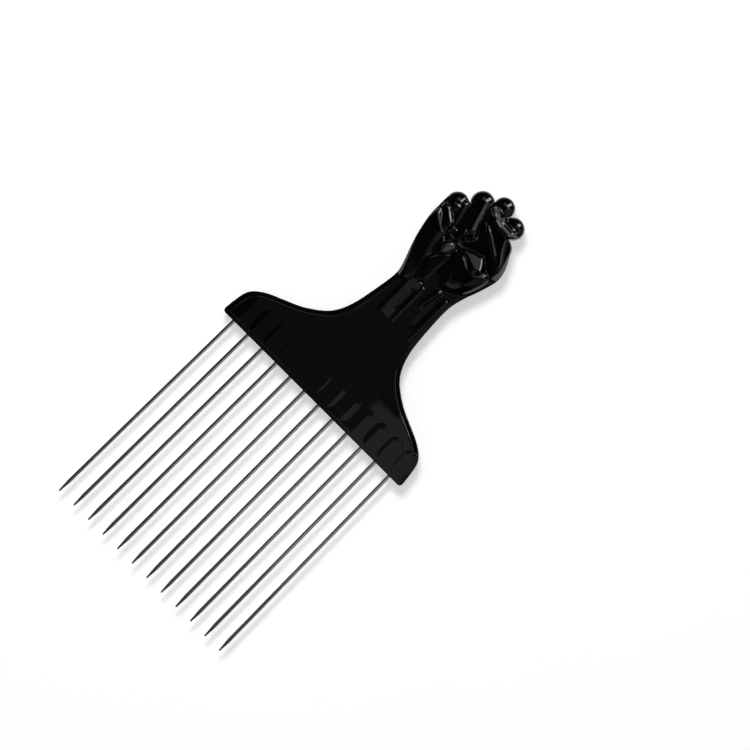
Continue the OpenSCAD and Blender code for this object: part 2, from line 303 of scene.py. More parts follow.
BACK_FORMS = (
    Form("little_bone", (-0.727, 0.697), (-0.420, 0.300), (0.30, 0.34), (0.34, 0.22), (0.50, 0.42)),
    Form("ring_bone", (-0.357, 0.831), (-0.210, 0.330), (0.34, 0.42), (0.36, 0.24), (0.51, 0.46)),
    Form("middle_bone", (0.038, 0.917), (0.040, 0.340), (0.34, 0.46), (0.36, 0.22), (0.463, 0.48)),
    Form("fore_bone", (0.477, 0.853), (0.300, 0.320), (0.34, 0.44), (0.36, 0.22), (0.494, 0.46)),
    Form("thumb_bone", (0.620, 0.640), (0.560, 0.330), (0.30, 0.30), (0.30, 0.24), (0.50, 0.44)),
)


def link_object(name: str, data: bpy.types.ID) -> bpy.types.Object:
    """Put a new object in the scene.

    Args:
        name: Name of the object.
        data: Its mesh, lamp or camera.

    Returns:
        The object, at the origin.
    """
    thing = bpy.data.objects.new(name, data)
    bpy.context.scene.collection.objects.link(thing)
    return thing


def lerp(a: Value, b: Value, t: Value) -> Value:
    """Value between a and b at share t."""
    return a + (b - a) * t


def soft_max(a: np.ndarray, b: np.ndarray, width: float) -> np.ndarray:
    """Larger of two heights, with the crease between them rounded.

    Args:
        a: First heights.
        b: Second heights.
        width: Height difference over which the crease is rounded.

    Returns:
        The joined heights.
    """
    near = np.maximum(width - np.abs(a - b), 0)
    return np.maximum(a, b) + near * near / (4 * width)


def fade(low: float, high: float, value: Value) -> Value:
    """Smooth step from 0 at low to 1 at high."""
    t = np.clip((value - low) / (high - low), 0, 1)
    return t * t * (3 - 2 * t)


def along(p: np.ndarray, a: np.ndarray, b: np.ndarray) -> tuple[np.ndarray, np.ndarray]:
    """Measure places against a straight line.

    Args:
        p: Places, one row each.
        a: Start of the line.
        b: End of the line.

    Returns:
        The share along the line for each place, and its distance from the line.
    """
    run = b - a
    t = np.clip((p - a) @ run / (run @ run), 0, 1)
    return t, np.linalg.norm(p - (a + t[:, None] * run), axis=1)


def between(a: np.ndarray, b: np.ndarray, c: np.ndarray, d: np.ndarray, t: Value) -> np.ndarray:
    """Place on a smooth curve through four points.

    Args:
        a: Point before the stretch.
        b: Start of the stretch.
        c: End of the stretch.
        d: Point after the stretch.
        t: Share of the way from b to c.

    Returns:
        The place, or one place for each share.
    """
    bend, twist = 2 * a - 5 * b + 4 * c - d, 3 * b - a - 3 * c + d
    return (2 * b + (c - a) * t + bend * t * t + twist * t ** 3) / 2


def closed_curve(corners: np.ndarray, steps: int = 6) -> np.ndarray:
    """Smooth closed curve through corners.

    Args:
        corners: Corners in order, one row each.
        steps: Points of the curve for each corner.

    Returns:
        The points of the curve in order, one row each.
    """
    t = (np.arange(steps) / steps)[None, :, None]
    a, b, c, d = (np.roll(corners, k, axis=0)[:, None, :] for k in (1, 0, -1, -2))
    return between(a, b, c, d, t).reshape(-1, 2)


def depth_inside(p: np.ndarray, curve: np.ndarray) -> np.ndarray:
    """Measure how deep places lie inside a closed curve.

    Args:
        p: Places, one row each.
        curve: Points of the curve in order, one row each.

    Returns:
        The distance of each place from the curve, below zero outside it.
    """
    far = np.full(len(p), np.inf)
    crossings = np.zeros(len(p), dtype=int)
    for a, b in zip(curve, np.roll(curve, -1, axis=0)):
        far = np.minimum(far, along(p, a, b)[1])
        beside = (a[1] > p[:, 1]) != (b[1] > p[:, 1])
        if beside.any():
            crossings += beside & (p[:, 0] < a[0] + (b[0] - a[0]) * (p[:, 1] - a[1]) / (b[1] - a[1]))
    return np.where(crossings % 2 == 1, far, -far)


@dataclass
class Relief:
    """Heights of the moulding's two sides over its parting plane.

    The wall slope is the fall of a form's side for each millimetre out. The palm crown
    is the share of the rows' crown that the palm side has, and the crease the share of a
    finger's thickness over which two forms blend.
    """

    sizes: HandSizes
    wall_slope: float = 0.90
    palm_crown: float = 0.45
    crease: float = 0.02

    def __post_init__(self) -> None:
        """Set up the rows of the sides, the pole and the knuckles in real sizes."""
        s = self.sizes
        neck = [self.side_row(r, 0, s.neck_h, s.head_w) for r in NECK_SHARES]
        hand = [self.side_row(r, s.neck_h, s.hand_h, s.fist_w) for r in HAND_SHARES]
        self.rows = np.array(neck + hand)
        self.knuckles = [(s.to_hand(k.place), k.radius * s.finger_d) for k in KNUCKLES]
        self.join_top_row()
        self.pole = self.rows[-1][[Column.SHIFT, Column.HEIGHT]]

    def join_top_row(self) -> None:
        """Make the topmost row as wide as the knuckles are at its height."""
        row = self.rows[-1]
        y = row[Column.HEIGHT]
        spans = [(m[0], math.sqrt(r * r - (y - m[1]) ** 2)) for m, r in self.knuckles if abs(y - m[1]) < r]
        left = min(x - half for x, half in spans)
        right = max(x + half for x, half in spans)
        row[Column.HALF_WIDTH] = (right - left) / 2
        row[Column.SHIFT] = (right + left) / 2

    def reach(self, rays: np.ndarray) -> np.ndarray:
        """Measure how far the knuckles reach from the pole.

        Args:
            rays: Directions from the pole, one row each.

        Returns:
            The distance at which each ray leaves its last knuckle.
        """
        far = np.zeros(len(rays))
        for place, r in self.knuckles:
            m = place - self.pole
            run = rays @ m
            rest = r * r - m @ m + run * run
            far = np.maximum(far, np.where(rest > 0, run + np.sqrt(np.maximum(rest, 0)), 0))
        return far

    def side_row(self, share: np.ndarray, start: float, rise: float, wide: float) -> list[float]:
        """Work out the real sizes of one row.

        Args:
            share: Shares of the row, as in the tables.
            start: Height at which the table starts.
            rise: Height that the table covers.
            wide: Full width of the table's widest row.

        Returns:
            The row's sizes in the order of Column.
        """
        s = self.sizes
        height, half_width, shift, palm, back, edge, crown = share
        return [
            start + height * rise,
            lerp(s.waist_w, wide, half_width) / 2,
            shift * s.waist_shift,
            lerp(s.head_t / 2, s.palm_t, palm),
            lerp(s.head_t / 2, s.back_t, back),
            edge * s.hand_round,
            crown,
        ]

    def smooth_rows(self, first: int, last: int, steps: int) -> np.ndarray:
        """Rows on a smooth curve through the given ones.

        Args:
            first: Row to start from.
            last: Row to stop before.
            steps: Steps between two given rows.

        Returns:
            One row per step, from first up to but not including last.
        """
        rows = []
        top = len(self.rows) - 1
        for i in range(first, last):
            near = [self.rows[k] for k in (max(i - 1, 0), i, i + 1, min(i + 2, top))]
            rows += [between(*near, k / steps) for k in range(steps)]
        return np.array(rows)

    def body(self, p: np.ndarray, side: Side, rows: np.ndarray) -> np.ndarray:
        """Height of the plain body under the hand's forms.

        Args:
            p: Places, one row each.
            side: Palm side or back.
            rows: Rows of the sides, lowest first.

        Returns:
            One height for each place.
        """
        part = Column.PALM if side is Side.PALM else Column.BACK
        wanted = (Column.HALF_WIDTH, Column.SHIFT, part, Column.CROWN)
        half, shift, top, crown = (np.interp(p[:, 1], rows[:, Column.HEIGHT], rows[:, k]) for k in wanted)
        lift = np.clip((p[:, 1] - self.pole[1]) / (self.sizes.handle_h - self.pole[1]), 0, 1)
        share = np.hypot((p[:, 0] - shift) / half, lift)
        across = np.minimum(share, 1) * np.clip(crown, 0, 1)
        if side is Side.PALM:
            across = lerp(across * self.palm_crown, across, lift)
        return top * np.sqrt(1 - across * across)

    def form(self, p: np.ndarray, form: Form) -> np.ndarray:
        """Measure one rounded form.

        Args:
            p: Places, one row each.
            form: Form to measure.

        Returns:
            The height of the form over each place.
        """
        s = self.sizes
        t, d = along(p, s.to_hand(form.start), s.to_hand(form.end))
        foot, rise, r = (lerp(a, b, t) * s.finger_d for a, b in (form.foot, form.rise, form.radius))
        share = np.minimum(d / r, 1)
        return foot + rise * (1 - share * share) - self.wall_slope * np.maximum(d - r, 0)

    def slab(self, p: np.ndarray, slab: Slab) -> np.ndarray:
        """Measure one flat-topped form.

        Args:
            p: Places, one row each.
            slab: Form to measure.

        Returns:
            The height of the form over each place.
        """
        s = self.sizes
        corners = np.array([s.to_hand(c) for c in slab.corners])
        inside = depth_inside(p, closed_curve(corners))
        share = 1 - np.clip(inside / (slab.rim * s.finger_d), 0, 1)
        fall = slab.drop * s.finger_d * share * share
        lean = (p - corners.mean(axis=0)) @ np.array(slab.tilt)
        return slab.top * s.finger_d + lean - fall - self.wall_slope * np.maximum(-inside, 0)

    def line(self, p: np.ndarray, line: Line) -> np.ndarray:
        """Measure one ridge or crease.

        Args:
            p: Places, one row each.
            line: Ridge or crease to measure.

        Returns:
            Its rise at each place, below zero for a crease.
        """
        s = self.sizes
        points = [s.to_hand(point) for point in line.points]
        d = np.min([along(p, a, b)[1] for a, b in zip(points, points[1:])], axis=0)
        near = np.clip(1 - (d / (line.half_width * s.finger_d)) ** 2, 0, 1)
        return line.rise * s.palm_t * near * near

    def heights(self, p: np.ndarray, side: Side, rows: np.ndarray) -> np.ndarray:
        """Measure one side of the hand with all its forms.

        Args:
            p: Places, one row each.
            side: Palm side or back.
            rows: Rows of the sides, lowest first.

        Returns:
            The height over the parting plane at each place.
        """
        crease = self.crease * self.sizes.finger_d
        z = self.body(p, side, rows)
        if side is Side.BACK:
            for form in BACK_FORMS:
                z = soft_max(z, self.form(p, form), crease)
            return z
        for slab in PALM_SLABS:
            z = soft_max(z, self.slab(p, slab), crease)
        for form in PALM_FORMS:
            z = soft_max(z, self.form(p, form), crease)
        return z + sum(self.line(p, line) for line in PALM_LINES)


@dataclass
class Handle:
    """The moulded handle: head, neck and fist in one skin.

    Deep steps are the steps of the palm side and the back from the rounded edge to the
    spine. The edge has a small round and a bevel on the head. From a share of the neck's
    height on, it turns into the hand's full round, which starts at the rim share of the
    full height. Its power is the fullness of that round, and its spread crowds the steps
    towards the rim.

    The bead is the fine raised line along the edge of the flat faces. Its strip of faces
    reaches bead_room times its half width past its middle. It rises between the two
    heights of bead_from, and fades from a share of the neck's height on. Lengths are in
    millimetres, and the corner's step is in degrees.
    """

    sizes: HandSizes = field(default_factory=HandSizes)
    corner_step: int = 10
    neck_steps: int = 10
    hand_steps: int = 25
    top_steps: int = 170
    edge_steps: int = 14
    bevel_shares: tuple[float, ...] = (0.06, 0.50, 0.94, 1.00)
    bead_steps: int = 10
    deep_steps: tuple[int, int] = (84, 34)
    rim_share: float = 0.80
    edge_power: float = 1.5
    edge_spread: float = 1.3
    round_from_share: float = 0.55
    bead_at: float = 1.75
    bead_w: float = 0.30
    bead_h: float = 0.10
    bead_room: float = 1.5
    bead_from: tuple[float, float] = (2.2, 5.0)
    bead_end_share: float = 0.85

    def __post_init__(self) -> None:
        """Set up the rows and the outline that the skin hangs on."""
        self.relief = Relief(self.sizes)
        waist = len(NECK_SHARES)
        last = len(self.relief.rows) - 1
        self.head_rows = self.relief.smooth_rows(0, FLAT_ROW, self.neck_steps)
        self.hand_rows = np.vstack([
            self.relief.smooth_rows(FLAT_ROW, waist, self.neck_steps),
            self.relief.smooth_rows(waist, last, self.hand_steps),
            self.relief.rows[last:],
        ])
        self.rows = np.vstack([self.head_rows, self.hand_rows])
        self.set_outline()

    def set_outline(self) -> None:
        """Build the closed outline, counter-clockwise from the pin edge's right end."""
        right_head = self.corner(Half.RIGHT) + [self.side_point(r, Half.RIGHT) for r in self.head_rows]
        left_head = self.corner(Half.LEFT) + [self.side_point(r, Half.LEFT) for r in self.head_rows]
        right_hand = [self.side_point(r, Half.RIGHT) for r in self.hand_rows]
        left_hand = [self.side_point(r, Half.LEFT) for r in self.hand_rows]
        turns = [math.pi * k / self.top_steps for k in range(1, self.top_steps)]
        rays = np.array([[math.cos(a), math.sin(a)] for a in turns])
        top = list(self.relief.pole + rays * self.relief.reach(rays)[:, None])
        self.outline = np.array(right_head + right_hand + top + left_hand[::-1] + left_head[::-1])
        self.stations = len(self.outline)
        self.first_hand = len(right_head)
        self.last_hand = self.first_hand + 2 * len(right_hand) + len(top) - 1
        ahead = np.roll(self.outline, -1, axis=0) - self.outline
        ahead /= np.linalg.norm(ahead, axis=1)[:, None]
        mean = ahead + np.roll(ahead, 1, axis=0)
        mean /= np.linalg.norm(mean, axis=1)[:, None]
        self.inward = np.stack([-mean[:, 1], mean[:, 0]], axis=1)

    def corner(self, half: Half) -> list[tuple[float, float]]:
        """Round one lower corner of the head.

        Args:
            half: Half of the outline that the corner is on.

        Returns:
            Points of the corner, from the pin edge upwards.
        """
        s = self.sizes
        turns = [math.radians(a) for a in range(0, 90, self.corner_step)]
        return [(half.value * (s.head_w / 2 - s.corner_r + s.corner_r * math.sin(a)),
                 s.corner_r - s.corner_r * math.cos(a)) for a in turns]

    def side_point(self, row: np.ndarray, half: Half) -> tuple[float, float]:
        """Outline point of a row on the right or the left."""
        return row[Column.SHIFT] + half.value * row[Column.HALF_WIDTH], row[Column.HEIGHT]

    def spine_of(self, i: int) -> int:
        """Spine row that a station of the hand runs to: the pole is the last."""
        return min(i - self.first_hand, self.last_hand - i, len(self.hand_rows) - 1)

    def in_hand(self, i: int) -> bool:
        """Whether a station belongs to the hand."""
        return self.first_hand <= i <= self.last_hand

    def columns(self, i: int, deep: int) -> tuple[list[np.ndarray], list[float], list[float]]:
        """Places of one station from the rounded edge inwards.

        Args:
            i: Station on the outline.
            deep: Steps from the edge to the spine.

        Returns:
            The places, the share of the full height at each, and its depth from the rim.
        """
        s, start = self.sizes, self.outline[i]
        edge = s.rim_round + s.bevel_w
        in_hand = self.in_hand(i)
        if in_hand:
            row = self.hand_rows[self.spine_of(i)]
            edge, spine = row[Column.EDGE], row[[Column.SHIFT, Column.HEIGHT]]
        insets, shares = self.edge_profile(edge, start[1])
        places = [self.inner_place(i, inset) for inset in insets]
        if in_hand:
            places += [lerp(places[-1], spine, j / deep) for j in range(1, deep + 1)]
        else:
            width = self.bead_at + self.bead_w * self.bead_room - edge
            steps = range(1, self.bead_steps + 1)
            places += [self.inner_place(i, edge + width * j / self.bead_steps) for j in steps]
        shares = list(shares) + [1.0] * (len(places) - len(shares))
        return places, shares, [float(np.linalg.norm(p - start)) for p in places]

    def inner_place(self, i: int, inset: float) -> np.ndarray:
        """Move in from the outline, along a mitre at the head's corners.

        Args:
            i: Station on the outline.
            inset: Distance to move.

        Returns:
            The place inside the outline.
        """
        s, start = self.sizes, self.outline[i]
        if inset > s.corner_r and start[1] < inset:
            return np.array([math.copysign(s.head_w / 2 - inset, start[0]), inset])
        return start + self.inward[i] * inset

    def edge_profile(self, edge: float, y: float) -> tuple[np.ndarray, np.ndarray]:
        """Edge of the skin at a height, from a bevelled one to a full round.

        Args:
            edge: Width of the rounded edge of the hand.
            y: Height above the pin edge.

        Returns:
            The distances in from the outline, and the share of the full height at each.
        """
        s = self.sizes
        k = np.arange(1, self.edge_steps + 1)
        rim_steps = self.edge_steps - len(self.bevel_shares)
        turn = np.minimum(k / rim_steps, 1) * math.pi / 2
        slope = np.array([0.0] * rim_steps + list(self.bevel_shares))
        flat = s.head_t / 2
        bevel_in = s.rim_round * (1 - np.cos(turn)) + s.bevel_w * slope
        bevel_up = 1 - (s.bevel_h * (1 - slope) + s.rim_round * (1 - np.sin(turn))) / flat
        u = (k / self.edge_steps) ** self.edge_spread
        round_up = lerp(self.rim_share, 1, 1 - (1 - u) ** self.edge_power)
        hand = float(fade(s.neck_h * self.round_from_share, s.neck_h, y))
        return lerp(bevel_in, edge * u, hand), lerp(bevel_up, round_up, hand)

    def build(self) -> bpy.types.Object:
        """Make the skin of the moulding.

        Returns:
            The handle, with its place in its mesh.
        """
        rim = np.column_stack([self.outline, np.zeros(self.stations)])
        points, faces = [rim], []
        for side, deep in zip(Side, self.deep_steps):
            start = sum(len(part) for part in points)
            side_points, side_faces = self.side_skin(side, deep, start)
            points.append(side_points)
            faces += side_faces
        data = bpy.data.meshes.new("skin")
        data.from_pydata(np.vstack(points).tolist(), [], faces)
        mesh = bmesh.new()
        mesh.from_mesh(data)
        bpy.data.meshes.remove(data)
        bmesh.ops.remove_doubles(mesh, verts=mesh.verts, dist=SKIN_WELD)
        bmesh.ops.recalc_face_normals(mesh, faces=mesh.faces)
        handle = new_object("moulded_handle", mesh)
        for face in handle.data.polygons:
            face.use_smooth = abs(face.normal.z) < FLAT_NORMAL
        return handle

    def side_skin(self, side: Side, deep: int, start: int) -> tuple[np.ndarray, list[tuple[int, ...]]]:
        """Points and faces of the palm side or the back, joined to the rim.

        Args:
            side: Side to make.
            deep: Steps from the edge to the spine.
            start: Number of this side's first point.

        Returns:
            The points, and the faces as their point numbers.
        """
        s = self.sizes
        places, shares, depths, counts = [], [], [], []
        for i in range(self.stations):
            line = self.columns(i, deep)
            places += line[0]
            shares += line[1]
            depths += line[2]
            counts.append(len(line[0]))
        p = np.array(places)
        hand = np.repeat([self.in_hand(i) for i in range(self.stations)], counts)
        z = np.full(len(p), s.head_t / 2)
        z[hand] = self.relief.heights(p[hand], side, self.rows)
        z = z * np.array(shares) + self.bead(p, np.array(depths))
        points = np.column_stack([p, side.value * z])
        firsts = start + np.concatenate([[0], np.cumsum(counts)[:-1]])
        grid = [[i, *range(first, first + n)] for i, (first, n) in enumerate(zip(firsts, counts))]
        faces = []
        for a, b in zip(grid, grid[1:] + grid[:1]):
            steps = min(len(a), len(b)) - 1
            faces += [(a[j], b[j], b[j + 1], a[j + 1]) for j in range(steps)]
        faces += self.flat_faces(grid, start + len(points))
        middle_share = NECK_SHARES[MIDDLE_ROW, Column.HEIGHT]
        middle = [0, s.neck_h * middle_share, side.value * s.head_t / 2]
        return np.vstack([points, middle]), faces

    def bead(self, p: np.ndarray, depths: np.ndarray) -> np.ndarray:
        """Shape the fine line along the edge, which fades out at the corners and into the hand.

        Args:
            p: Places, one row each.
            depths: Depth of each place from the rim.

        Returns:
            The rise of the line at each place.
        """
        waist = self.sizes.neck_h
        share = np.clip(1 - ((depths - self.bead_at) / self.bead_w) ** 2, 0, 1)
        ends = fade(*self.bead_from, p[:, 1]) * (1 - fade(waist * self.bead_end_share, waist, p[:, 1]))
        return self.bead_h * share * share * ends

    def flat_faces(self, grid: list[list[int]], centre: int) -> list[tuple[int, int, int]]:
        """Close the flat face of the head up to the first row of the hand.

        Args:
            grid: Point numbers of each station, from the rim inwards.
            centre: Number of the point where the faces meet.

        Returns:
            The faces as their point numbers.
        """
        inner = self.edge_steps + self.bead_steps
        first, last = grid[self.first_hand], grid[self.last_hand]
        ring = [grid[i][inner] for i in range(self.last_hand + 1, self.stations)]
        ring += [grid[i][inner] for i in range(self.first_hand)]
        ring += first[inner:] + last[inner:-1][::-1]
        return [(a, b, centre) for a, b in zip(ring, ring[1:] + ring[:1])]


def new_object(name: str, mesh: bmesh.types.BMesh) -> bpy.types.Object:
    """Turn a bmesh, in millimetres from the middle of the pin edge, into an object.

    Args:
        name: Name of the object and its mesh.
        mesh: Mesh to use up.

    Returns:
        The new object, with its place in its mesh in metres.
    """
    place = Matrix.Scale(MM, 4) @ Matrix.Translation((0, EDGE_Y, MID_Z))
    bmesh.ops.transform(mesh, matrix=place, verts=mesh.verts)
    data = bpy.data.meshes.new(name)
    mesh.to_mesh(data)
    mesh.free()
    data.shade_smooth()
    return link_object(name, data)


@dataclass
class FannedRow:
    """Row of copies along the pin edge, each turned a little more than the last.

    The pitch is in millimetres, and the fan in degrees from one copy to the next.
    """

    count: int = len(PIN_NODES)
    pitch: float = 6.7
    fan: float = 0.14

    def tree(self) -> bpy.types.NodeTree:
        """Build the Geometry Nodes tree that sets copies of its geometry in the row.

        Returns:
            The tree, with the row's sizes and finish as named inputs.
        """
        tree = bpy.data.node_groups.new("fanned_row", "GeometryNodeTree")
        face = tree.interface
        face.new_socket("Shape", in_out="INPUT", socket_type="NodeSocketGeometry")
        for name, kind in (("Count", "Int"), ("Pitch", "Float"), ("Fan", "Float"), ("Finish", "Material")):
            face.new_socket(name, in_out="INPUT", socket_type=f"NodeSocket{kind}")
        face.new_socket("Row", in_out="OUTPUT", socket_type="NodeSocketGeometry")
        nodes, links = tree.nodes, tree.links
        given, result = nodes.new("NodeGroupInput"), nodes.new("NodeGroupOutput")
        step, turn = nodes.new("ShaderNodeCombineXYZ"), nodes.new("ShaderNodeCombineXYZ")
        line, copies = nodes.new("GeometryNodeMeshLine"), nodes.new("GeometryNodeInstanceOnPoints")
        index, realize = nodes.new("GeometryNodeInputIndex"), nodes.new("GeometryNodeRealizeInstances")
        dress = nodes.new("GeometryNodeSetMaterial")
        middle = self.add_math(tree, "SUBTRACT", given.outputs["Count"], 1)
        half = self.add_math(tree, "MULTIPLY", middle, 0.5)
        from_middle = self.add_math(tree, "SUBTRACT", index.outputs[0], half)
        start = nodes.new("ShaderNodeCombineXYZ")
        back = self.add_math(tree, "MULTIPLY", half, given.outputs["Pitch"])
        links.new(self.add_math(tree, "MULTIPLY", back, -1), start.inputs["X"])
        links.new(given.outputs["Pitch"], step.inputs["X"])
        links.new(self.add_math(tree, "MULTIPLY", from_middle, given.outputs["Fan"]), turn.inputs["Z"])
        links.new(given.outputs["Count"], line.inputs["Count"])
        links.new(start.outputs[0], line.inputs["Start Location"])
        links.new(step.outputs[0], line.inputs["Offset"])
        links.new(line.outputs[0], copies.inputs["Points"])
        links.new(given.outputs["Shape"], copies.inputs["Instance"])
        links.new(turn.outputs[0], copies.inputs["Rotation"])
        links.new(copies.outputs[0], realize.inputs[0])
        links.new(realize.outputs[0], dress.inputs["Geometry"])
        links.new(given.outputs["Finish"], dress.inputs["Material"])
        links.new(dress.outputs[0], result.inputs["Row"])
        return tree

    def add_math(self, tree: bpy.types.NodeTree, operation: str, a: bpy.types.NodeSocket | float,
                 b: bpy.types.NodeSocket | float) -> bpy.types.NodeSocket:
        """Add one sum to a tree.

        Args:
            tree: Tree to add to.
            operation: What to do with the two values.
            a: First value, as a socket or a number.
            b: Second value, as a socket or a number.

        Returns:
            The socket that holds the result.
        """
        node = tree.nodes.new("ShaderNodeMath")
        node.operation = operation
        for value, socket in zip((a, b), node.inputs):
            if isinstance(value, bpy.types.NodeSocket):
                tree.links.new(value, socket)
            else:
                socket.default_value = value
        return node.outputs[0]

    def repeat(self, shape: bpy.types.Object, name: str, finish: bpy.types.Material) -> bpy.types.Object:
        """Set copies of one shape in the row.

        Args:
            shape: Object with one shape round the origin, in metres. It is used up.
            name: Name of the new piece.
            finish: Material of the copies.

        Returns:
            The row as a plain mesh, with its place in its mesh.
        """
        tree = self.tree()
        modifier = shape.modifiers.new("row", "NODES")
        modifier.node_group = tree
        inputs = {item.name: item.identifier for item in tree.interface.items_tree if item.in_out == "INPUT"}
        modifier[inputs["Count"]] = self.count
        modifier[inputs["Pitch"]] = self.pitch * MM
        modifier[inputs["Fan"]] = math.radians(self.fan)
        modifier[inputs["Finish"]] = finish
        ready = shape.evaluated_get(bpy.context.evaluated_depsgraph_get())
        data = bpy.data.meshes.new_from_object(ready)
        shape.modifiers.remove(modifier)
        bpy.data.objects.remove(shape)
        data.name = name
        data.transform(Matrix.Translation(Vector((0, EDGE_Y, MID_Z)) * MM))
        data.shade_smooth()
        return link_object(name, data)


def turned_shape(name: str, rings: list[list[tuple[float, float, float]]]) -> bpy.types.Object:
    """Closed shape through a list of rings, whose first and last close in a point.

    Args:
        name: Name of the shape.
        rings: Rings of places in millimetres, each with as many points as the others.

    Returns:
        The shape round the origin, in metres.
    """
    mesh = bmesh.new()
    loops = [[mesh.verts.new(Vector(p) * MM) for p in ring] for ring in rings]
    for low, high in zip(loops, loops[1:]):
        for k in range(len(low)):
            n = (k + 1) % len(low)
            mesh.faces.new((low[k], low[n], high[n], high[k]))
    bmesh.ops.remove_doubles(mesh, verts=mesh.verts, dist=TURNED_WELD)
    bmesh.ops.dissolve_degenerate(mesh, edges=mesh.edges, dist=TURNED_EDGE)
    bmesh.ops.recalc_face_normals(mesh, faces=mesh.faces)
    data = bpy.data.meshes.new(name)
    mesh.to_mesh(data)
    mesh.free()
    return link_object(name, data)


@dataclass
class Bosses:
    """Shallow oval swellings of the head over each pin, on both faces.

    The start is the height of their lower ends over the pin edge, and the shift how far
    they lie to the right of their pins. The outermost ring, at the rim share, lies under
    the face, so that a boss runs out into it. Lengths are in millimetres.
    """

    row: FannedRow = field(default_factory=FannedRow)
    length: float = 10.2
    width: float = 5.8
    start: float = 1.5
    shift: float = 0.85
    height: float = 0.17
    face: float = HandSizes.head_t / 2
    rim_share: float = 1.04
    rings: int = 26
    turns: int = 64

    def ring(self, share: float, side: Side, sunk: float = 0.0) -> list[tuple[float, float, float]]:
        """Make one level ring of the boss, a long oval with straight sides.

        Args:
            share: Share of the boss's half width.
            side: Side of the moulding.
            sunk: Depth of the ring under the boss's surface.

        Returns:
            Places of the ring's points.
        """
        height = self.face + self.height * (1 - share * share) - sunk
        middle = self.start + self.length / 2
        ring = []
        for k in range(self.turns):
            a = math.tau * k / self.turns
            up = math.copysign(math.sqrt(share * abs(math.sin(a))), math.sin(a))
            ring.append((self.shift + share * self.width / 2 * math.cos(a), middle + up * self.length / 2,
                         side.value * height))
        return ring

    def build(self, finish: bpy.types.Material) -> bpy.types.Object:
        """Make the row of bosses.

        Args:
            finish: Material of the bosses.

        Returns:
            The row as one piece.
        """
        shares = [self.rim_share * k / self.rings for k in range(self.rings + 1)]
        palm = [self.ring(share, Side.PALM) for share in shares]
        back = [self.ring(share, Side.BACK) for share in reversed(shares)]
        inner = [self.ring(self.rim_share, side, self.face / 2) for side in Side]
        shape = turned_shape("boss", palm + inner + back)
        return self.row.repeat(shape, "pin_bosses", finish)


@dataclass
class Pins:
    """Row of straight drawn wire pins, tapered to a blunt round tip.

    The tip ease is the share of a smooth curve in the taper, which is straight for the
    rest. Lengths are in millimetres.
    """

    row: FannedRow = field(default_factory=FannedRow)
    wire_d: float = float(np.median(PIN_BOXES[:, 1, 2] - PIN_BOXES[:, 0, 2]))
    free: float = EDGE_Y - float(PIN_BOXES[:, 0, 1].min())
    root: float = 10.5
    tip_len: float = 5.0
    tip_d: float = 0.8
    tip_ease: float = 0.35
    turns: int = 32
    straight_rings: int = 6
    taper_rings: int = 10
    tip_rings: int = 8

    def profile(self) -> list[tuple[float, float]]:
        """Work out the outline of a pin.

        Returns:
            Radius and distance below the pin edge, from the root to the tip.
        """
        r, tip = self.wire_d / 2, self.tip_d / 2
        cone = self.free - self.tip_len
        points = [(0.0, -self.root), (r, -self.root)]
        points += [(r, cone * k / self.straight_rings) for k in range(self.straight_rings)]
        for k in range(self.taper_rings + 1):
            t = k / self.taper_rings
            taper = t * t * (3 - 2 * t) * self.tip_ease + t * (1 - self.tip_ease)
            points.append((lerp(r, tip, taper), lerp(cone, self.free - tip, t)))
        for k in range(1, self.tip_rings + 1):
            a = math.pi / 2 * k / self.tip_rings
            points.append((tip * math.cos(a), self.free - tip + tip * math.sin(a)))
        return points

    def build(self, finish: bpy.types.Material) -> bpy.types.Object:
        """Make the row of pins.

        Args:
            finish: Material of the pins.

        Returns:
            The row as one piece.
        """
        rings = []
        for r, down in self.profile():
            turns = [math.tau * k / self.turns for k in range(self.turns)]
            rings.append([(r * math.cos(a), -down, r * math.sin(a)) for a in turns])
        shape = turned_shape("pin", rings)
        return self.row.repeat(shape, "steel_pins", finish)


@dataclass(frozen=True)
class Grain:
    """Noise of a finish: its scale a metre, its octaves and its stretch along the axes."""

    scale: float
    detail: float
    stretch: tuple[float, float, float] = (1.0, 1.0, 1.0)


